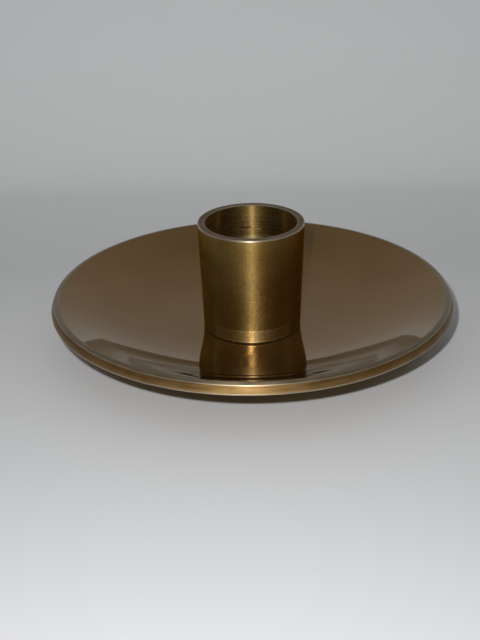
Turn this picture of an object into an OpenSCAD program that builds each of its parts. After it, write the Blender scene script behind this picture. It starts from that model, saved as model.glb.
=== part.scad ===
// Candle holder: a shallow turned brass dish with a tapered candle cup at its centre.
// The cup is held by one countersunk screw from below, and a felt pad covers the screw.
// Millimetres, +Z up. The origin is where the holder's axis meets the table.

/* [Dish] */
// Diameter of the dish over its rim
dish_d = 100; // [90:1:130]
// Radius of the hollow that sweeps up from the floor
bowl_r = 72.5; // [60:0.5:84]
// Slope of the straight wall below the rim, in degrees
wall_slope = 23.9; // [18:0.1:28]
// Thickness of the wall, square to its surface
wall_t = 2.8; // [2:0.1:3.2]
// Flat of the floor that runs out past the seat of the cup
floor_margin = 0.05; // [0.05:0.05:3]

/* [Rim] */
// Width of the land turned on top of the rim
land_w = 1.4; // [1:0.1:2.5]
// Fall of the land towards its outer edge
land_fall = 0.25; // [0.05:0.05:0.4]
// How far the outer edge leans out towards its lower corner
edge_lean = 0.6; // [0.2:0.1:0.8]
// Radius that rounds the upper corner of the edge
corner_r = 0.45; // [0.2:0.05:0.6]
// Radius that rounds the lower corner of the edge
heel_r = 0.3; // [0.1:0.05:0.5]

/* [Foot] */
// Width of the rim of the foot round the pad
foot_rim_w = 1.7; // [1.2:0.1:4]
// How far the foot stands below the underside of the floor
foot_drop = 1; // [0.9:0.1:2]
// Chamfer round the foot
foot_chamfer = 0.4; // [0.2:0.1:0.6]

/* [Candle cup] */
// Bore that takes the candle
bore_d = 22.5; // [20:0.1:26]
// Depth of the bore
bore_depth = 17; // [12:0.5:25]
// Width of the flat lip round the bore
lip_w = 1.9; // [1.6:0.1:3]
// How much smaller the cup's radius is at its base than at its lip
cup_taper = 1; // [0.6:0.1:1.6]
// Solid brass left below the bore
cup_base_t = 10.5; // [8:0.1:14]
// Rounding of both edges of the lip
lip_r = 0.4; // [0.2:0.05:0.6]
// Relief turned round the cup's base, above the dish
base_relief = 0.3; // [0.1:0.05:0.5]
// Fillet in the bottom corner of the bore
bore_fillet = 0.8; // [0.4:0.1:1.5]

/* [Fixing screw] */
// Diameter of the screw's shank
screw_d = 4; // [3:0.5:5]
// Diameter of the countersunk head
head_d = 8; // [7:0.1:9.4]
// Height of the straight edge of the head
head_edge = 0.2; // [0.1:0.05:0.3]
// Brass left between the tapped hole and the bore
web_t = 1.2; // [1:0.1:2.5]
// Width of the driver slot
slot_w = 1; // [0.8:0.1:1.3]
// Depth of the driver slot
slot_depth = 1; // [0.6:0.1:1.2]

/* [Base pad] */
// Diameter of the felt pad
pad_d = 42; // [30:0.5:60]
// Thickness of the felt pad
pad_t = 1.5; // [1.2:0.1:2.5]
// Depth of the recess that the pad is glued into
pad_recess = 0.6; // [0.3:0.1:0.8]
// Rounding of the pad's lower edge
pad_round = 0.3; // [0.1:0.1:0.5]

/* [Hidden] */

// Facets of a full turn, and steps of the long and the short arcs in the outlines
$fn = 120;
LONG_STEPS = 28;
SHORT_STEPS = 6;
// Cuts run past the solid by this much
OVERRUN = 1;
// Clearance all round the screw's shank, and under its head
SCREW_CLEARANCE = 0.05;
HEAD_CLEARANCE = 0.05;
// Clearance of the shank's hole in the dish
HOLE_CLEARANCE = 0.25;
// The head lies this far inside the recess, and the tapped hole runs this far past the screw
HEAD_SINK = 0.1;
TAP_RUNOUT = 1.2;
// Slope of the cone that a drill leaves at the end of a hole
DRILL_SLOPE = 30;
// Gap round the pad in its recess
PAD_CLEARANCE = 0.3;
// Chamfer on the tip of the screw
TIP_CHAMFER = 0.5;

// Heights above the table: foot, recess face and floor of the dish
foot_z = pad_t - pad_recess;
recess_z = foot_z + pad_recess;
floor_z = foot_z + foot_drop + wall_t;

// The cup, from its seat on the floor up to its lip
bore_r = bore_d / 2;
lip_out_r = bore_r + lip_w;
cup_base_r = lip_out_r - cup_taper;
cup_seat_r = cup_base_r - base_relief;
bore_z = floor_z + cup_base_t;
lip_z = bore_z + bore_depth;

// The hollow: flat floor, arc, straight wall and land
rim_r = dish_d / 2;
floor_r = cup_seat_r + floor_margin;
corner_top_r = rim_r - edge_lean;
land_r = corner_top_r - land_w;
bowl_angle = min(wall_slope, asin(min(1, (land_r - floor_r) / bowl_r)));
wall_r = floor_r + bowl_r * sin(bowl_angle);
wall_z = floor_z + bowl_r * (1 - cos(bowl_angle));
land_z = wall_z + (land_r - wall_r) * tan(wall_slope);

// The underside follows the hollow at the wall's thickness, and its slope meets the outer edge
under_bowl_r = bowl_r + wall_t;
under_r = floor_r + under_bowl_r * sin(bowl_angle);
under_z = floor_z + bowl_r - under_bowl_r * cos(bowl_angle);
heel_z = under_z + (rim_r - under_r) * tan(bowl_angle);

// The foot holds the pad, and the hollow's underside starts at its rim
recess_r = pad_d / 2 + PAD_CLEARANCE;
foot_r = recess_r + foot_rim_w;
foot_angle = asin(max(0, foot_r - floor_r) / under_bowl_r);

// The screw, from its sunk head up to the drill's cone below the bore
hole_r = screw_d / 2 + HOLE_CLEARANCE;
tap_r = screw_d / 2 + SCREW_CLEARANCE;
head_z = recess_z + HEAD_SINK;
tap_tip_z = bore_z - web_t;
tap_z = tap_tip_z - tap_r * tan(DRILL_SLOPE);
screw_end_z = tap_z - TAP_RUNOUT;

// Points of an arc about [r, z], from angle a to angle b, with 0 pointing outwards and 90 up
function arc(r, z, radius, a, b, steps) =
    [for (i = [0:steps]) let (t = a + (b - a) * i / steps) [r + radius * cos(t), z + radius * sin(t)]];

// Points that round the corner at c, between the points before and after it
function rounded(before, c, after, radius) =
    let (u = (before - c) / norm(before - c),
         v = (after - c) / norm(after - c),
         half = acos(u * v) / 2,
         centre = c + (u + v) / norm(u + v) * radius / sin(half),
         p = c + u * radius / tan(half) - centre,
         q = c + v * radius / tan(half) - centre,
         turn = atan2(p[0] * q[1] - p[1] * q[0], p * q),
         from = atan2(p[1], p[0]))
    arc(centre[0], centre[1], radius, from, from + turn, SHORT_STEPS);

module turned(outline) {
    rotate_extrude() polygon(outline);
}

module dish() {
    sink_r = head_d / 2 + HEAD_CLEARANCE;
    sink_z = head_z + head_edge + HEAD_CLEARANCE;
    land_in = [land_r, land_z];
    land_out = [corner_top_r, land_z - land_fall];
    heel = [rim_r, heel_z];
    wall_foot = [under_r, under_z];
    color([0.40, 0.33, 0.27])
    turned(concat(
        [[hole_r, floor_z]],
        arc(floor_r, floor_z + bowl_r, bowl_r, -90, bowl_angle - 90, LONG_STEPS),
        [land_in],
        rounded(land_in, land_out, heel, corner_r),
        rounded(land_out, heel, wall_foot, heel_r),
        arc(floor_r, floor_z + bowl_r, under_bowl_r, bowl_angle - 90, foot_angle - 90, LONG_STEPS),
        [[foot_r, foot_z + foot_chamfer],
         [foot_r - foot_chamfer, foot_z],
         [recess_r, foot_z],
         [recess_r, recess_z],
         [sink_r, recess_z],
         [sink_r, sink_z],
         [hole_r, sink_z + sink_r - hole_r]]
    ));
}

module candle_cup() {
    base = [cup_base_r, floor_z];
    lip_out = [lip_out_r, lip_z];
    lip_in = [bore_r, lip_z];
    bore_foot = [bore_r, bore_z];
    color([0.55, 0.42, 0.20])
    turned(concat(
        [[tap_r, floor_z],
         [cup_seat_r, floor_z],
         [cup_base_r, floor_z + base_relief]],
        rounded(base, lip_out, lip_in, lip_r),
        rounded(lip_out, lip_in, bore_foot, lip_r),
        rounded(lip_in, bore_foot, [0, bore_z], bore_fillet),
        [[0, bore_z],
         [0, tap_tip_z],
         [tap_r, tap_z]]
    ));
}

module fixing_screw() {
    head_r = head_d / 2;
    shank_r = screw_d / 2;
    color([0.72, 0.72, 0.70])
    difference() {
        turned([[0, head_z],
                [head_r, head_z],
                [head_r, head_z + head_edge],
                [shank_r, head_z + head_edge + head_r - shank_r],
                [shank_r, screw_end_z - TIP_CHAMFER],
                [shank_r - TIP_CHAMFER, screw_end_z],
                [0, screw_end_z]]);
        translate([-head_r - OVERRUN, -slot_w / 2, head_z - OVERRUN])
            cube([head_d + 2 * OVERRUN, slot_w, slot_depth + OVERRUN]);
    }
}

module felt_pad() {
    pad_r = pad_d / 2;
    color([0.13, 0.16, 0.14])
    turned(concat(
        [[0, 0]],
        arc(pad_r - pad_round, pad_round, pad_round, -90, 0, SHORT_STEPS),
        [[pad_r, pad_t],
         [0, pad_t]]
    ));
}

dish();
candle_cup();
fixing_screw();
felt_pad();
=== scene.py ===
"""Candle holder: the dressed look of the dish, the candle cup, the fixing screw and the felt pad."""
import math

import bpy
from mathutils import Euler, Matrix, Vector


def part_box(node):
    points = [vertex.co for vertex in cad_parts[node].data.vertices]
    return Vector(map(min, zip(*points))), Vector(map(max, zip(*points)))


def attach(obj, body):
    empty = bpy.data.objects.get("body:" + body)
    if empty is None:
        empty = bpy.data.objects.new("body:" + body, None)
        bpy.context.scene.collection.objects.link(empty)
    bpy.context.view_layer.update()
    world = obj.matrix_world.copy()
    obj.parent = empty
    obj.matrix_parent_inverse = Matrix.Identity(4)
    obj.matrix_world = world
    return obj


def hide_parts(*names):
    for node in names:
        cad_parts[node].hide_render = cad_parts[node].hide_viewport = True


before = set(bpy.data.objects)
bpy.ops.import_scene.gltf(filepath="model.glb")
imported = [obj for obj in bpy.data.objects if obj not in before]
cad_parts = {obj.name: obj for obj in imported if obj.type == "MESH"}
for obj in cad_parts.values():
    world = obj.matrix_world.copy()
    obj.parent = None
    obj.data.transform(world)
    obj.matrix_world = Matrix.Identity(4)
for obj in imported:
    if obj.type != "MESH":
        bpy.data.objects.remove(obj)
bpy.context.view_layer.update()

MM = 0.001

# Heights above the table, from the solids of the frame
FOOT_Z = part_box("dish")[0].z
RECESS_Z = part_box("felt_pad")[1].z
HEAD_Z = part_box("fixing_screw")[0].z
SCREW_END_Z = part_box("fixing_screw")[1].z
FLOOR_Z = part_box("candle_cup")[0].z
LIP_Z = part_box("candle_cup")[1].z

# The fixing screw, and the play round it
SHANK_R = 2 * MM
HEAD_R = 4 * MM
HEAD_EDGE = 0.2 * MM
HEAD_BEVEL = 0.1 * MM
TIP_CHAMFER = 0.5 * MM
SLOT_W = 1 * MM
SLOT_DEPTH = 1 * MM
SHANK_PLAY = 0.05 * MM
HEAD_PLAY = 0.05 * MM
HOLE_PLAY = 0.25 * MM

# The felt pad, and the gap round it
PAD_R = 21 * MM
PAD_ROUND = 0.3 * MM
PAD_GAP = 0.3 * MM

# The candle cup. Its lip has a paler ring round the bore, and a gap with painted shade in it runs round its
# base
BORE_R = 11.25 * MM
BORE_DEPTH = 17 * MM
BORE_FILLET = 0.8 * MM
LIP_W = 1.9 * MM
LIP_ROUND = 0.4 * MM
LIP_CHAMFER = 0.15 * MM
PALE_RING_W = 0.55 * MM
CUP_TAPER = 1 * MM
BASE_RELIEF = 0.3 * MM
BASE_ROUND = 0.1 * MM
GAP_H = 0.35 * MM
BORE_Z = LIP_Z - BORE_DEPTH
CUP_LIP_R = BORE_R + LIP_W
CUP_BASE_R = CUP_LIP_R - CUP_TAPER
CUP_SEAT_R = CUP_BASE_R - BASE_RELIEF
CUP_BASE_Z = FLOOR_Z + GAP_H

# The tapped hole in the cup, up to the cone that the drill leaves below the bore
WEB_T = 1.2 * MM
DRILL_SLOPE = math.radians(30)
TAP_R = SHANK_R + SHANK_PLAY
TAP_TIP_Z = BORE_Z - WEB_T
TAP_Z = TAP_TIP_Z - TAP_R * math.tan(DRILL_SLOPE)

# The dish: its hollow and straight wall, and the foot with its recess and countersink
RIM_R = 50 * MM
BOWL_R = 72.5 * MM
WALL_SLOPE = math.radians(23.9)
WALL_T = 2.8 * MM
FLOOR_MARGIN = 0.05 * MM
FOOT_RIM_W = 1.7 * MM
FOOT_CHAMFER = 0.4 * MM
FLOOR_R = CUP_SEAT_R + FLOOR_MARGIN
RECESS_R = PAD_R + PAD_GAP
FOOT_R = RECESS_R + FOOT_RIM_W
SCREW_HOLE_R = SHANK_R + HOLE_PLAY
SINK_R = HEAD_R + HEAD_PLAY
SINK_TOP_Z = HEAD_Z + HEAD_EDGE + HEAD_PLAY

# The rim: a land that is crowned, a rounded corner and an edge that leans out down to its heel
EDGE_LEAN = 0.6 * MM
LAND_W = 1.4 * MM
RIDGE_R = 0.1 * MM
CROWN_W = 1.14 * MM
CROWN_SLOPE = math.radians(26)
CORNER_R = 0.35 * MM
EDGE_TOP_SLOPE = math.radians(62)
EDGE_HEEL_SLOPE = math.radians(79.5)
HEEL_R = 0.35 * MM

# Where the finishes change: the browned rim, the polishing rings, the painted shade that browns the cup
# towards its right, and the painted caustic band at the front of the cup's foot, which come in from the
# first to the second place along their axis
EDGE_BROWN_Z = 13.1 * MM
EDGE_CLEAN_Z = 11.9 * MM
POLISH_RINGS_R = (40 * MM, 45 * MM)
PAINTED_SHADE_X = (-0.4 * CUP_BASE_R, CUP_BASE_R)
CAUSTIC_BAND_Z = 8.1 * MM
CAUSTIC_BAND_Y = (-0.6 * CUP_BASE_R, -0.97 * CUP_BASE_R)
BAND_EDGE = 0.25 * MM

# Marks in the bore: a ring from the tool, and a dark slit and a scratch at its back
TOOL_MARK_Z = 24.4 * MM
TOOL_MARK_DEPTH = 0.1 * MM
SLIT_Z = 26.3 * MM
SLIT_X = (-2.6 * MM, 0)
SCRATCH_Z = 25.9 * MM
SCRATCH_X = (1.2 * MM, 2.6 * MM)
DASH_W = 0.3 * MM

# Colours of the finishes: the darker and the lighter tone of each, and single colours over them
LACQUER_TONES = ((0.157, 0.083, 0.019), (0.181, 0.100, 0.026))
DUST = (0.42, 0.36, 0.28)
EDGE_TONES = ((0.20, 0.115, 0.038), (0.335, 0.21, 0.082))
EDGE_TARNISH = (0.09, 0.038, 0.006)
LAND_TONES = ((0.170, 0.128, 0.075), (0.245, 0.192, 0.122))
WORN_TONES = ((0.35, 0.285, 0.20), (0.49, 0.41, 0.30))
# The gap below the cup is painted dark, as painted shade
GAP_SHADE_TONES = ((0.020, 0.012, 0.005), (0.035, 0.022, 0.010))
LIP_TONES = ((0.18, 0.145, 0.108), (0.265, 0.215, 0.165))
PALE_RING_TONES = ((0.25, 0.205, 0.155), (0.35, 0.29, 0.22))
CUP_TONES = ((0.35, 0.23, 0.068), (0.43, 0.30, 0.105))
# The painted shade on the cup's right side
CUP_PAINTED_SHADE = (0.25, 0.125, 0.026)
# The painted caustic at the front of the cup's foot
CUP_PAINTED_CAUSTIC = (0.90, 0.66, 0.31)
BORE_TONES = ((0.21, 0.13, 0.036), (0.32, 0.21, 0.075))
BORE_BELOW_MARK = (0.38, 0.30, 0.135)
SCRATCH_COLOUR = (0.52, 0.42, 0.20)
SLIT_COLOUR = (0.02, 0.012, 0.005)
UNDERSIDE_TONES = ((0.26, 0.145, 0.042), (0.40, 0.24, 0.08))
STEEL_TONES = ((0.38, 0.38, 0.37), (0.55, 0.55, 0.53))
FELT_TONES = ((0.028, 0.042, 0.035), (0.060, 0.082, 0.070))

# Steps of a full turn and of the arcs in a half section, and how near counts as the same place
TURN_STEPS = 192
HOLLOW_STEPS = 48
ROUND_STEPS = 6
BEVEL_STEPS = 3
RIDGE_STEPS = 2
CHAMFER_STEPS = 1
SHARP_ANGLE = math.radians(20)
MERGE_DISTANCE = 0.002 * MM
NEAR = 0.02 * MM

# How much of a face's normal lies along an axis, at least, when the face is level, leans or faces back
LEVEL = 0.99
LEANING = 0.05
FACING_BACK = 0.1

# The sheet below and behind the holder, in metres. It is painted paler as it nears its wall, as painted
# light on the wall
SHEET_W = 2.4
SHEET_FRONT_Y = -1.5
SHEET_WALL_Y = 0.16
SHEET_WALL_H = 0.5
COVE_R = 0.05
COVE_STEPS = 24
SHEET_PAINTED_LIGHT_Y = (0.05, 0.12)
SHEET_TONES = ((0.58, 0.59, 0.605), (0.75, 0.765, 0.780))

# The lamp: a little to the left of the camera and above it. Its distance is from where it points
LAMP_AZIMUTH = math.radians(-3.4)
LAMP_ELEVATION = math.radians(28.9)
LAMP_DISTANCE = 290 * MM
LAMP_AIM = (0, 0, 12 * MM)
LAMP_SIZE = 8 * MM
LAMP_WATTS = 0.66

# The air round the holder: the lower and the upper tone behind it and on the camera's side
BACK_TONES = ((0.40, 0.40, 0.40), (0.30, 0.28, 0.25))
FRONT_TONES = ((0.05, 0.05, 0.05), (0.42, 0.41, 0.39))

# The camera: level distance and height from the point under the cup, and where it looks
CAMERA_AWAY = 274.1 * MM
CAMERA_UP = 137.4 * MM
CAMERA_PITCH = math.radians(25.70)
CAMERA_TURN = math.radians(-0.65)
CAMERA_ROLL = math.radians(-1.05)
CAMERA_CLIP = 10 * MM
FOCAL_PX = 1200
PICTURE_LONG_PX = 640
SENSOR_MM = 36


def deselect():
    """Object mode with nothing selected."""
    if bpy.context.mode != "OBJECT":
        bpy.ops.object.mode_set(mode="OBJECT")
    bpy.ops.object.select_all(action="DESELECT")


def select_only(piece):
    """Object mode with one piece selected and active."""
    deselect()
    piece.select_set(True)
    bpy.context.view_layer.objects.active = piece


def start_piece(name, point):
    """A new piece in edit mode, as one vertex."""
    deselect()
    bpy.ops.mesh.primitive_plane_add(size=2 * MM, location=(0, 0, 0))
    piece = bpy.context.object
    piece.name = name
    bpy.ops.object.mode_set(mode="EDIT")
    bpy.ops.mesh.select_mode(type="VERT")
    bpy.ops.mesh.select_all(action="SELECT")
    bpy.ops.mesh.merge(type="CENTER")
    bpy.ops.transform.translate(value=point)
    return piece


def extrude_by(step):
    """Extrudes what is selected by one step."""
    bpy.ops.mesh.extrude_region_move(TRANSFORM_OT_translate={"value": step})


def start_section(name, point):
    """A new piece in edit mode, as the first vertex of its half section."""
    return start_piece(name, (point[0], 0, point[1]))


def draw_line(*points):
    """Extrudes the last vertex of the section from each point to the next."""
    for before, after in zip(points, points[1:]):
        extrude_by((after[0] - before[0], 0, after[1] - before[1]))


def draw_arc(centre, angle, steps):
    """Spins the last vertex of the section about a centre, outwards and up for an angle above zero."""
    bpy.ops.mesh.spin(steps=steps, angle=angle, center=(centre[0], 0, centre[1]), axis=(0, 1, 0))


def turn_section():
    """Spins the whole section about the holder's axis into a closed shell that faces outwards."""
    bpy.ops.mesh.select_all(action="SELECT")
    bpy.ops.mesh.spin(steps=TURN_STEPS, angle=math.tau, center=(0, 0, 0), axis=(0, 0, 1))
    bpy.ops.mesh.select_all(action="SELECT")
    bpy.ops.mesh.remove_doubles(threshold=MERGE_DISTANCE)
    bpy.ops.mesh.normals_make_consistent(inside=False)


def round_ring(piece, point, offset, steps):
    """Bevels the ring of edges that runs through one corner of the section."""
    bpy.ops.mesh.select_mode(type="EDGE")
    bpy.ops.mesh.select_all(action="DESELECT")
    bpy.ops.object.mode_set(mode="OBJECT")
    mesh = piece.data
    on_ring = [abs(vertex.co.xy.length - point[0]) < NEAR and abs(vertex.co.z - point[1]) < NEAR
               for vertex in mesh.vertices]
    for edge in mesh.edges:
        edge.select = on_ring[edge.vertices[0]] and on_ring[edge.vertices[1]]
    bpy.ops.object.mode_set(mode="EDIT")
    bpy.ops.mesh.bevel(offset=offset, segments=steps, affect="EDGES")


def dress_piece(piece, node, materials, pick):
    """Smooths the piece, gives each face the material that is picked for its distance from the axis,
    its height and its normal, and sets the piece in place of its CAD node."""
    select_only(piece)
    bpy.ops.object.shade_smooth_by_angle(angle=SHARP_ANGLE)
    bpy.ops.object.modifier_add(type="WEIGHTED_NORMAL")
    keep_flats = piece.modifiers[-1]
    keep_flats.mode = "FACE_AREA"
    keep_flats.weight = 100
    keep_flats.keep_sharp = True
    bpy.ops.object.modifier_apply(modifier=keep_flats.name)
    for material in materials:
        piece.data.materials.append(material)
    for face in piece.data.polygons:
        picked = pick(face.center.xy.length, face.center.z, face.normal)
        face.material_index = materials.index(picked)
    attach(piece, "root")
    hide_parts(node)


class Nodes:
    """Adds nodes to a material or to the world. Most methods give the output of the node they add."""

    def __init__(self, owner):
        owner.use_nodes = True
        self.nodes = owner.node_tree.nodes
        self.links = owner.node_tree.links

    def put(self, value, socket):
        """Links an output to a socket, or writes a number, a vector or a colour into it."""
        if isinstance(value, bpy.types.NodeSocket):
            self.links.new(value, socket)
        elif socket.type == "RGBA":
            socket.default_value = (*value, 1)
        else:
            socket.default_value = value

    def split(self, vector):
        """The X, Y and Z of a vector."""
        node = self.nodes.new("ShaderNodeSeparateXYZ")
        self.put(vector, node.inputs[0])
        return node.outputs["X"], node.outputs["Y"], node.outputs["Z"]

    def maths(self, operation, *values):
        """One operation on one to three numbers or outputs."""
        node = self.nodes.new("ShaderNodeMath")
        node.operation = operation
        for value, socket in zip(values, node.inputs):
            self.put(value, socket)
        return node.outputs[0]

    def ranged(self, value, low, high, to_low=0.0, to_high=1.0):
        """The value, moved from between low and high to between two others and held there."""
        node = self.nodes.new("ShaderNodeMapRange")
        node.inputs["From Min"].default_value = low
        node.inputs["From Max"].default_value = high
        node.inputs["To Min"].default_value = to_low
        node.inputs["To Max"].default_value = to_high
        self.put(value, node.inputs["Value"])
        return node.outputs["Result"]

    def blend(self, amount, low, high):
        """A colour between low and high. Each of them is a colour or an output."""
        node = self.nodes.new("ShaderNodeMix")
        node.data_type = "RGBA"
        self.put(amount, node.inputs["Factor"])
        self.put(low, node.inputs["A"])
        self.put(high, node.inputs["B"])
        return node.outputs["Result"]

    def noise(self, place, scale, detail):
        """Noise between 0 and 1 in space."""
        node = self.nodes.new("ShaderNodeTexNoise")
        node.inputs["Scale"].default_value = scale
        node.inputs["Detail"].default_value = detail
        self.put(place, node.inputs["Vector"])
        return node.outputs["Fac"]

    def stretched_noise(self, place, scales, detail):
        """Noise with its own scale along each of X, Y and Z."""
        node = self.nodes.new("ShaderNodeMapping")
        node.inputs["Scale"].default_value = scales
        self.put(place, node.inputs["Vector"])
        return self.noise(node.outputs["Vector"], 1, detail)

    def rings(self, radius, scale, detail):
        """Noise between 0 and 1 that changes with the distance from the axis alone."""
        node = self.nodes.new("ShaderNodeTexNoise")
        node.noise_dimensions = "1D"
        node.inputs["Scale"].default_value = scale
        node.inputs["Detail"].default_value = detail
        self.put(radius, node.inputs["W"])
        return node.outputs["Fac"]

    def bump(self, height, distance, normal=None):
        """The normal of a surface raised by a height between 0 and 1 times a distance."""
        node = self.nodes.new("ShaderNodeBump")
        node.inputs["Strength"].default_value = 1
        node.inputs["Distance"].default_value = distance
        self.put(height, node.inputs["Height"])
        if normal is not None:
            self.put(normal, node.inputs["Normal"])
        return node.outputs["Normal"]


class Finish(Nodes):
    """A new material, with the place on the piece that its look depends on."""

    def __init__(self, name):
        self.material = bpy.data.materials.new(name)
        super().__init__(self.material)
        self.shader = self.nodes["Principled BSDF"]
        self.place = self.nodes.new("ShaderNodeTexCoord").outputs["Object"]
        self.x, self.y, self.height = self.split(self.place)

    def axis_distance(self):
        """The distance from the holder's axis."""
        level = self.nodes.new("ShaderNodeCombineXYZ")
        self.put(self.x, level.inputs["X"])
        self.put(self.y, level.inputs["Y"])
        length = self.nodes.new("ShaderNodeVectorMath")
        length.operation = "LENGTH"
        self.put(level.outputs[0], length.inputs[0])
        return length.outputs["Value"]

    def shade(self, values):
        """Gives the shader's sockets their values or outputs, by name."""
        for name, value in values.items():
            self.put(value, self.shader.inputs[name])

    def turn_grain(self, amount, turn=0.25):
        """Stretches the highlights across the turning lines that run round the axis."""
        tangent = self.nodes.new("ShaderNodeTangent")
        tangent.direction_type = "RADIAL"
        tangent.axis = "Z"
        self.shade({"Anisotropic": amount, "Anisotropic Rotation": turn, "Tangent": tangent.outputs[0]})

    def specks(self, scale, size, kept):
        """1 on small round specks, one in each cell of the given share of cells, and 0 beside them."""
        cells = self.nodes.new("ShaderNodeTexVoronoi")
        cells.inputs["Scale"].default_value = scale
        self.put(self.place, cells.inputs["Vector"])
        chances = self.nodes.new("ShaderNodeSeparateColor")
        self.put(cells.outputs["Color"], chances.inputs[0])
        chosen = self.maths("LESS_THAN", chances.outputs[0], kept)
        reach = self.maths("MULTIPLY", chances.outputs[1], size)
        near = self.maths("LESS_THAN", cells.outputs["Distance"], reach)
        return self.maths("MULTIPLY", chosen, near)

    def dash(self, level, ends):
        """1 on a thin level line at the back of the bore, between two places along X, and 0 beside it."""
        on_level = self.maths("COMPARE", self.height, level, DASH_W / 2)
        middle = (ends[0] + ends[1]) / 2
        between = self.maths("COMPARE", self.x, middle, ends[1] - middle)
        line = self.maths("MULTIPLY", on_level, between)
        behind = self.maths("GREATER_THAN", self.y, 0)
        return self.maths("MULTIPLY", line, behind)


def lacquered_brass():
    """Browned brass, polished and lacquered, with dust and the faint rings of the polishing wheel."""
    finish = Finish("lacquered_brass")
    cloud = finish.noise(finish.place, 45, 3)
    browned = finish.blend(finish.ranged(cloud, 0.35, 0.65), *LACQUER_TONES)
    specks = finish.specks(90, 0.016, 0.5)
    rough = finish.ranged(cloud, 0.3, 0.7, 0.05, 0.08)
    radius = finish.axis_distance()
    wander = finish.noise(finish.place, 25, 1)
    ring_place = finish.maths("MULTIPLY_ADD", wander, 2 * MM, radius)
    ringed = finish.bump(finish.rings(ring_place, 700, 2), 0.0014 * MM)
    waved = finish.bump(finish.noise(finish.place, 140, 1), 0.014 * MM, ringed)
    outwards = finish.ranged(radius, *POLISH_RINGS_R)
    outer_rings = finish.maths("MULTIPLY", outwards, finish.rings(ring_place, 520, 2))
    surface = finish.bump(outer_rings, 0.006 * MM, waved)
    finish.shade({
        "Base Color": finish.blend(specks, browned, DUST),
        "Metallic": 0.78,
        "Roughness": finish.maths("MAXIMUM", rough, specks),
        "Specular Tint": (0.6, 0.5, 0.36),
        "Coat Weight": 1,
        "Coat IOR": 1.34,
        "Coat Roughness": 0.02,
        "Normal": surface,
        "Coat Normal": surface,
    })
    return finish.material


def satin_edge():
    """The turned edge of the rim: satin brass with fine lines round it, browner near its upper corner."""
    finish = Finish("satin_edge")
    finish.turn_grain(0.6)
    lines = finish.stretched_noise(finish.place, (90, 90, 3500), 3)
    cloud = finish.noise(finish.place, 160, 3)
    tone = finish.maths("MULTIPLY", lines, cloud)
    brass = finish.blend(finish.ranged(tone, 0.12, 0.4), *EDGE_TONES)
    browned = finish.ranged(finish.height, EDGE_BROWN_Z, EDGE_CLEAN_Z, 0.5, 0.0)
    grain = finish.stretched_noise(finish.place, (2600, 2600, 6000), 2)
    lined = finish.bump(lines, 0.012 * MM)
    finish.shade({
        "Base Color": finish.blend(browned, brass, EDGE_TARNISH),
        "Metallic": 0.85,
        "Roughness": finish.ranged(lines, 0.4, 0.62, 0.42, 0.66),
        "Coat Weight": 0.1,
        "Coat Roughness": 0.15,
        "Normal": finish.bump(grain, 0.01 * MM, lined),
    })
    return finish.material


def worn_brass(name, tones):
    """Worn brass with fine lines round the axis, for the land and the corners; with dark tones it also
    gives the painted shade in the gap below the cup.
    """
    finish = Finish(name)
    finish.turn_grain(0.8)
    lines = finish.stretched_noise(finish.place, (150, 150, 4000), 3)
    cloud = finish.noise(finish.place, 180, 3)
    tone = finish.maths("MULTIPLY", lines, cloud)
    finish.shade({
        "Base Color": finish.blend(finish.ranged(tone, 0.12, 0.4), *tones),
        "Metallic": 0.9,
        "Roughness": finish.ranged(cloud, 0.3, 0.7, 0.42, 0.52),
        "Coat Weight": 0.3,
        "Coat Roughness": 0.15,
        "Normal": finish.bump(lines, 0.008 * MM),
    })
    return finish.material


def lip_brass(name, tones):
    """Grey-brown brass with rings round the bore, for the flat of the lip and its paler ring."""
    finish = Finish(name)
    rings = finish.rings(finish.axis_distance(), 3200, 3)
    cloud = finish.noise(finish.place, 150, 3)
    tone = finish.maths("MULTIPLY", rings, cloud)
    finish.shade({
        "Base Color": finish.blend(finish.ranged(tone, 0.15, 0.35), *tones),
        "Metallic": 1,
        "Roughness": 0.32,
        "Specular Tint": (0.3, 0.22, 0.16),
        "Coat Weight": 0.3,
        "Coat Roughness": 0.12,
        "Normal": finish.bump(rings, 0.006 * MM),
    })
    return finish.material


def cup_colour(finish, lines):
    """The cup's brass, with painted shade that browns it towards the right, and a painted caustic at the
    front of its foot: a pale band and two light lines that stand in for light the dish throws there.
    """
    cloud = finish.noise(finish.place, 90, 3)
    tone = finish.maths("MULTIPLY_ADD", lines, 0.15, finish.maths("MULTIPLY", cloud, 0.85))
    clear = finish.blend(finish.ranged(tone, 0.38, 0.62), *CUP_TONES)
    # Painted shade: the cup is painted darker and browner towards its right, where less of the lamp's light
    # falls.
    shade_to_right = finish.ranged(finish.x, *PAINTED_SHADE_X, 0.0, 0.95)
    tarnished = finish.blend(shade_to_right, clear, CUP_PAINTED_SHADE)
    # Painted caustic: a pale band and two light lines at the front of the foot stand in for light thrown up
    # from the dish.
    band = finish.ranged(finish.height, CAUSTIC_BAND_Z, CAUSTIC_BAND_Z - BAND_EDGE)
    caustic_upper_line = finish.maths("COMPARE", finish.height, CAUSTIC_BAND_Z, 0.7 * BAND_EDGE)
    caustic_lower_line = finish.maths("COMPARE", finish.height, CUP_BASE_Z + BASE_ROUND, BAND_EDGE)
    edges = finish.maths("MULTIPLY", finish.maths("MAXIMUM", caustic_upper_line, caustic_lower_line), 0.5)
    foot = finish.maths("MULTIPLY_ADD", band, 0.34, edges)
    caustic_to_front = finish.ranged(finish.y, *CAUSTIC_BAND_Y)
    return finish.blend(finish.maths("MULTIPLY", foot, caustic_to_front), tarnished, CUP_PAINTED_CAUSTIC)


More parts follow.
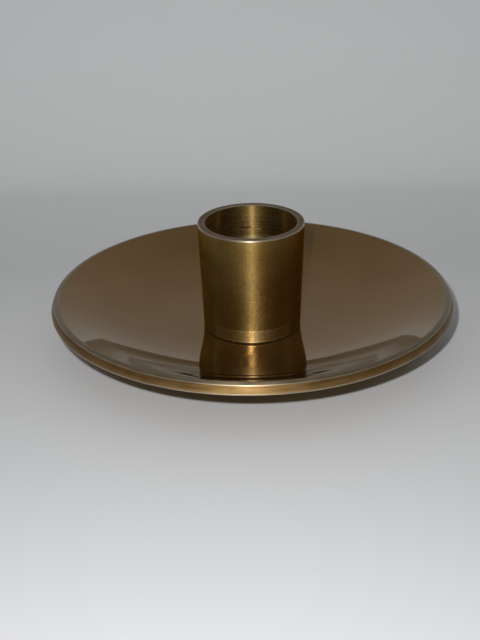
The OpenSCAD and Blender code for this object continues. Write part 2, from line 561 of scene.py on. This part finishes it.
def turned_brass():
    """The outside of the cup: satin brass from the lathe, with fine lines round the axis."""
    finish = Finish("turned_brass")
    finish.turn_grain(1.0, 0.262)
    lines = finish.stretched_noise(finish.place, (60, 60, 6500), 3)
    jag = finish.stretched_noise(finish.place, (700, 700, 4500), 2)
    grain = finish.stretched_noise(finish.place, (8000, 8000, 16000), 2)
    lined = finish.bump(lines, 0.034 * MM)
    finish.shade({
        "Base Color": cup_colour(finish, lines),
        "Metallic": 1,
        "Roughness": finish.ranged(grain, 0.49, 0.54, 0.15, 0.78),
        "Specular Tint": (0.4, 0.26, 0.15),
        "Normal": finish.bump(jag, 0.0025 * MM, lined),
    })
    return finish.material


def bore_colour(finish, lines):
    """The bore's brass: dark with tarnish, paler below the tool mark, with the scratch and the slit."""
    cloud = finish.noise(finish.place, 110, 3)
    tone = finish.maths("MULTIPLY_ADD", lines, 0.2, finish.maths("MULTIPLY", cloud, 0.8))
    upper = finish.blend(finish.ranged(tone, 0.38, 0.62), *BORE_TONES)
    below = finish.ranged(finish.height, TOOL_MARK_Z, TOOL_MARK_Z - BAND_EDGE, 0.0, 0.6)
    bored = finish.blend(below, upper, BORE_BELOW_MARK)
    scratched = finish.blend(finish.dash(SCRATCH_Z, SCRATCH_X), bored, SCRATCH_COLOUR)
    return finish.blend(finish.dash(SLIT_Z, SLIT_X), scratched, SLIT_COLOUR)


def bored_brass():
    """The bore of the cup: tarnished brass, with a tool mark round it part of the way down."""
    finish = Finish("bored_brass")
    finish.turn_grain(1.0)
    lines = finish.stretched_noise(finish.place, (60, 60, 4800), 3)
    jag = finish.stretched_noise(finish.place, (700, 700, 4500), 2)
    grain = finish.stretched_noise(finish.place, (6000, 6000, 15000), 2)
    mixed = finish.maths("MULTIPLY_ADD", lines, 0.2, finish.maths("MULTIPLY", grain, 0.8))
    lined = finish.bump(lines, 0.025 * MM)
    jagged = finish.bump(jag, 0.004 * MM, lined)
    groove = finish.maths("COMPARE", finish.height, TOOL_MARK_Z, BAND_EDGE / 2)
    finish.shade({
        "Base Color": bore_colour(finish, lines),
        "Metallic": 1,
        "Roughness": finish.ranged(mixed, 0.46, 0.52, 0.22, 0.82),
        "Specular Tint": (0.6, 0.5, 0.4),
        "Normal": finish.bump(groove, -TOOL_MARK_DEPTH, jagged),
    })
    return finish.material


def faced_brass():
    """The hidden underside and the foot, faced on the lathe with rings round the axis."""
    finish = Finish("faced_brass")
    rings = finish.rings(finish.axis_distance(), 2400, 3)
    cloud = finish.noise(finish.place, 60, 3)
    tone = finish.maths("MULTIPLY", rings, cloud)
    finish.shade({
        "Base Color": finish.blend(finish.ranged(tone, 0.15, 0.35), *UNDERSIDE_TONES),
        "Metallic": 1,
        "Roughness": finish.ranged(cloud, 0.3, 0.7, 0.28, 0.42),
        "Coat Weight": 0.3,
        "Coat Roughness": 0.25,
        "Normal": finish.bump(rings, 0.012 * MM),
    })
    return finish.material


def machined_steel():
    """Plain steel from the lathe, with fine rings."""
    finish = Finish("machined_steel")
    lines = finish.stretched_noise(finish.place, (200, 200, 5000), 3)
    finish.shade({
        "Base Color": finish.blend(lines, *STEEL_TONES),
        "Metallic": 1,
        "Roughness": finish.ranged(lines, 0.35, 0.65, 0.25, 0.4),
        "Normal": finish.bump(lines, 0.01 * MM),
    })
    return finish.material


def pressed_felt():
    """Dense wool felt: matted fibres, no weave, and a little fuzz."""
    finish = Finish("pressed_felt")
    matted = finish.noise(finish.place, 1600, 5)
    patches = finish.noise(finish.place, 180, 3)
    tone = finish.maths("MULTIPLY_ADD", patches, 0.4, finish.maths("MULTIPLY", matted, 0.6))
    fibres = finish.bump(matted, 0.12 * MM)
    finish.shade({
        "Base Color": finish.blend(finish.ranged(tone, 0.38, 0.62), *FELT_TONES),
        "Roughness": 0.95,
        "Sheen Weight": 0.25,
        "Sheen Roughness": 0.5,
        "Normal": finish.bump(patches, 0.15 * MM, fibres),
    })
    return finish.material


def pale_sweep():
    """The sheet's matt surface, painted paler towards its wall as painted light, and clear when it is seen
    from behind.
    """
    finish = Finish("pale_sweep")
    finish.shade({
        # Painted light: the wall part of the sheet is painted paler than the floor.
        "Base Color": finish.blend(finish.ranged(finish.y, *SHEET_PAINTED_LIGHT_Y), *SHEET_TONES),
        "Roughness": 0.6,
        "Specular IOR Level": 0.2,
    })
    one_sided = finish.nodes.new("ShaderNodeMixShader")
    finish.put(finish.nodes.new("ShaderNodeNewGeometry").outputs["Backfacing"], one_sided.inputs["Fac"])
    finish.put(finish.shader.outputs[0], one_sided.inputs[1])
    finish.put(finish.nodes.new("ShaderNodeBsdfTransparent").outputs[0], one_sided.inputs[2])
    finish.put(one_sided.outputs[0], finish.nodes["Material Output"].inputs["Surface"])
    return finish.material


def make_dish(lacquered, edge, faced, worn, land):
    """The dish, turned from its whole section: hollow, rim, underside, foot, recess and countersink."""
    bowl_centre = (FLOOR_R, FLOOR_Z + BOWL_R)
    wall_r = FLOOR_R + BOWL_R * math.sin(WALL_SLOPE)
    wall_z = FLOOR_Z + BOWL_R * (1 - math.cos(WALL_SLOPE))
    land_r = RIM_R - EDGE_LEAN - LAND_W
    land_z = wall_z + (land_r - wall_r) * math.tan(WALL_SLOPE)
    under_bowl_r = BOWL_R + WALL_T
    under_r = FLOOR_R + under_bowl_r * math.sin(WALL_SLOPE)
    under_z = FLOOR_Z + BOWL_R - under_bowl_r * math.cos(WALL_SLOPE)
    foot_angle = math.asin((FOOT_R - FLOOR_R) / under_bowl_r)
    foot_top_z = FLOOR_Z + BOWL_R - under_bowl_r * math.cos(foot_angle)
    crown_r = CROWN_W / math.sin(CROWN_SLOPE)
    corner_r = land_r + CROWN_W + CORNER_R * (math.sin(EDGE_TOP_SLOPE) - math.sin(CROWN_SLOPE))
    corner_z = (land_z - crown_r * (1 - math.cos(CROWN_SLOPE))
                - CORNER_R * (math.cos(CROWN_SLOPE) - math.cos(EDGE_TOP_SLOPE)))
    corner_centre = (corner_r - CORNER_R * math.sin(EDGE_TOP_SLOPE),
                     corner_z - CORNER_R * math.cos(EDGE_TOP_SLOPE))
    edge_r = (RIM_R - corner_r) / (math.sin(EDGE_HEEL_SLOPE) - math.sin(EDGE_TOP_SLOPE))
    edge_centre = (corner_r - edge_r * math.sin(EDGE_TOP_SLOPE),
                   corner_z - edge_r * math.cos(EDGE_TOP_SLOPE))
    heel = (RIM_R, edge_centre[1] + edge_r * math.cos(EDGE_HEEL_SLOPE))

    dish = start_section("dish_shell", (SCREW_HOLE_R, FLOOR_Z))
    draw_line((SCREW_HOLE_R, FLOOR_Z), (FLOOR_R, FLOOR_Z))
    draw_arc(bowl_centre, WALL_SLOPE, HOLLOW_STEPS)
    draw_line((wall_r, wall_z), (land_r, land_z))
    draw_arc((land_r, land_z - crown_r), -CROWN_SLOPE, ROUND_STEPS)
    draw_arc(corner_centre, CROWN_SLOPE - EDGE_TOP_SLOPE, ROUND_STEPS)
    draw_arc(edge_centre, EDGE_TOP_SLOPE - EDGE_HEEL_SLOPE, ROUND_STEPS)
    draw_line(heel, (under_r, under_z))
    draw_arc(bowl_centre, foot_angle - WALL_SLOPE, HOLLOW_STEPS)
    draw_line((FOOT_R, foot_top_z), (FOOT_R, FOOT_Z + FOOT_CHAMFER), (FOOT_R - FOOT_CHAMFER, FOOT_Z),
              (RECESS_R, FOOT_Z), (RECESS_R, RECESS_Z), (SINK_R, RECESS_Z), (SINK_R, SINK_TOP_Z),
              (SCREW_HOLE_R, SINK_TOP_Z + SINK_R - SCREW_HOLE_R), (SCREW_HOLE_R, FLOOR_Z))
    turn_section()
    round_ring(dish, heel, HEEL_R, ROUND_STEPS)
    round_ring(dish, (land_r, land_z), RIDGE_R, RIDGE_STEPS)

    def pick(r, z, normal):
        if r > land_r - RIDGE_R and z > corner_z:
            return worn if r > land_r + CROWN_W else land
        if r > RIM_R - HEEL_R and z < heel[1] + HEEL_R:
            return worn
        if normal.z < -LEANING or r < FOOT_R and z < FLOOR_Z - NEAR:
            return faced
        return edge if r > corner_r else lacquered

    dress_piece(dish, "dish", [lacquered, edge, faced, worn, land], pick)


def make_cup(turned, bored, lip, worn, gap, pale_ring):
    """The candle cup, turned from its whole section: tapped hole, relief, wall, lip and bore."""
    base = (CUP_BASE_R, CUP_BASE_Z)
    lip_out = (CUP_LIP_R, LIP_Z)
    lip_in = (BORE_R, LIP_Z)
    bore_foot = (BORE_R, BORE_Z)
    ring_r = BORE_R + PALE_RING_W
    cup = start_section("cup_shell", (0, TAP_TIP_Z))
    draw_line((0, TAP_TIP_Z), (TAP_R, TAP_Z), (TAP_R, FLOOR_Z), (CUP_SEAT_R, FLOOR_Z),
              (CUP_SEAT_R, CUP_BASE_Z), base, lip_out, (ring_r, LIP_Z), lip_in, bore_foot, (0, BORE_Z))
    turn_section()
    round_ring(cup, base, BASE_ROUND, BEVEL_STEPS)
    round_ring(cup, lip_out, LIP_ROUND, ROUND_STEPS)
    round_ring(cup, lip_in, LIP_CHAMFER, CHAMFER_STEPS)
    round_ring(cup, bore_foot, BORE_FILLET, ROUND_STEPS)

    def pick(r, z, normal):
        if z > LIP_Z - LIP_CHAMFER and r < ring_r:
            return pale_ring
        if z > LIP_Z - NEAR and normal.z > LEVEL:
            return lip
        if z > LIP_Z - LIP_ROUND and normal.z > LEANING:
            return turned if normal.y > FACING_BACK else worn
        if z < CUP_BASE_Z + NEAR and r > TAP_R + NEAR:
            return gap
        return bored if r < BORE_R + NEAR and z > BORE_Z - NEAR else turned

    dress_piece(cup, "candle_cup", [turned, bored, lip, worn, gap, pale_ring], pick)


def cut_slot(screw):
    """Cuts the driver slot across the screw's head."""
    deselect()
    bpy.ops.mesh.primitive_cube_add(size=1, location=(0, 0, HEAD_Z))
    cutter = bpy.context.object
    cutter.scale = (3 * HEAD_R, SLOT_W, 2 * SLOT_DEPTH)
    bpy.ops.object.transform_apply(location=True, rotation=False, scale=True)
    select_only(screw)
    bpy.ops.object.modifier_add(type="BOOLEAN")
    slot_cut = screw.modifiers[-1]
    slot_cut.operation = "DIFFERENCE"
    slot_cut.object = cutter
    slot_cut.solver = "EXACT"
    bpy.ops.object.modifier_apply(modifier=slot_cut.name)
    bpy.data.objects.remove(cutter)


def make_screw(steel):
    """The countersunk screw, from its head up to its tip."""
    screw = start_section("screw_shell", (0, HEAD_Z))
    draw_line((0, HEAD_Z), (HEAD_R, HEAD_Z), (HEAD_R, HEAD_Z + HEAD_EDGE),
              (SHANK_R, HEAD_Z + HEAD_EDGE + HEAD_R - SHANK_R), (SHANK_R, SCREW_END_Z - TIP_CHAMFER),
              (SHANK_R - TIP_CHAMFER, SCREW_END_Z), (0, SCREW_END_Z))
    turn_section()
    round_ring(screw, (HEAD_R, HEAD_Z), HEAD_BEVEL, BEVEL_STEPS)
    cut_slot(screw)
    dress_piece(screw, "fixing_screw", [steel], lambda r, z, normal: steel)


def make_pad(felt):
    """The felt pad, a disc with a rounded lower edge."""
    pad = start_section("pad_disc", (0, 0))
    draw_line((0, 0), (PAD_R, 0), (PAD_R, RECESS_Z), (0, RECESS_Z))
    turn_section()
    round_ring(pad, (PAD_R, 0), PAD_ROUND, ROUND_STEPS)
    dress_piece(pad, "felt_pad", [felt], lambda r, z, normal: felt)


def floor_faces_down(stage):
    """Whether the floor of the sheet in edit mode looks down."""
    stage.update_from_editmode()
    return min(stage.data.polygons, key=lambda face: face.center.y).normal.z < 0


def make_stage():
    """The floor runs back into a cove and a wall, in one sheet."""
    side_x = -SHEET_W / 2
    cove_y = SHEET_WALL_Y - COVE_R
    stage = start_piece("studio_sweep", (side_x, SHEET_FRONT_Y, 0))
    extrude_by((0, cove_y - SHEET_FRONT_Y, 0))
    bpy.ops.mesh.spin(steps=COVE_STEPS, angle=-math.pi / 2, center=(side_x, cove_y, COVE_R), axis=(1, 0, 0))
    extrude_by((0, 0, SHEET_WALL_H))
    bpy.ops.mesh.select_all(action="SELECT")
    extrude_by((SHEET_W, 0, 0))
    bpy.ops.mesh.select_all(action="SELECT")
    if floor_faces_down(stage):
        bpy.ops.mesh.flip_normals()
    deselect()
    for face in stage.data.polygons:
        face.use_smooth = True
    stage.data.materials.append(pale_sweep())


def add_lamp():
    """A small round lamp that looks at the holder. At azimuth 0 it would be on the camera's side."""
    aim = Vector(LAMP_AIM)
    level = math.cos(LAMP_ELEVATION)
    towards_lamp = Vector((level * math.sin(LAMP_AZIMUTH), -level * math.cos(LAMP_AZIMUTH),
                           math.sin(LAMP_ELEVATION)))
    lamp = bpy.data.lights.new("key_lamp", "AREA")
    lamp.shape = "DISK"
    lamp.size = LAMP_SIZE
    lamp.energy = LAMP_WATTS
    holder = bpy.data.objects.new("key_lamp", lamp)
    holder.location = aim + LAMP_DISTANCE * towards_lamp
    holder.rotation_euler = towards_lamp.to_track_quat("Z", "Y").to_euler()
    bpy.context.scene.collection.objects.link(holder)


def light_air():
    """The light from all round: grey behind the holder, and on the camera's side dark below pale."""
    world = bpy.data.worlds.new("studio_air")
    bpy.context.scene.world = world
    air = Nodes(world)
    _, y, z = air.split(air.nodes.new("ShaderNodeTexCoord").outputs["Generated"])
    back = air.blend(air.ranged(z, 0.55, 0.95), *BACK_TONES)
    front = air.blend(air.ranged(z, 0.5, 0.85), *FRONT_TONES)
    to_back = air.ranged(y, -0.25, 0.15)
    background = air.nodes["Background"]
    air.put(air.blend(to_back, front, back), background.inputs["Color"])
    background.inputs["Strength"].default_value = 1


def add_camera():
    """The camera of the photograph, as fitted to the outlines of the rim and the cup."""
    camera = bpy.data.cameras.new("photo_camera")
    camera.sensor_width = SENSOR_MM
    camera.lens = FOCAL_PX * SENSOR_MM / PICTURE_LONG_PX
    camera.clip_start = CAMERA_CLIP
    holder = bpy.data.objects.new("photo_camera", camera)
    look = Euler((math.pi / 2 - CAMERA_PITCH, 0, -CAMERA_TURN)).to_matrix()
    roll = Matrix.Rotation(CAMERA_ROLL, 3, "Z")
    holder.matrix_world = Matrix.Translation((0, -CAMERA_AWAY, CAMERA_UP)) @ (look @ roll).to_4x4()
    bpy.context.scene.collection.objects.link(holder)
    bpy.context.scene.camera = holder


bpy.context.scene.view_settings.view_transform = "Standard"
add_camera()
make_stage()
add_lamp()
light_air()
worn = worn_brass("worn_brass", WORN_TONES)
land = worn_brass("land_brass", LAND_TONES)
make_dish(lacquered_brass(), satin_edge(), faced_brass(), worn, land)
# Painted shade: the gap below the cup is made dark by its colour.
gap = worn_brass("gap_painted_shade", GAP_SHADE_TONES)
lip = lip_brass("lip_brass", LIP_TONES)
pale_ring = lip_brass("ring_brass", PALE_RING_TONES)
make_cup(turned_brass(), bored_brass(), lip, worn, gap, pale_ring)
make_screw(machined_steel())
make_pad(pressed_felt())
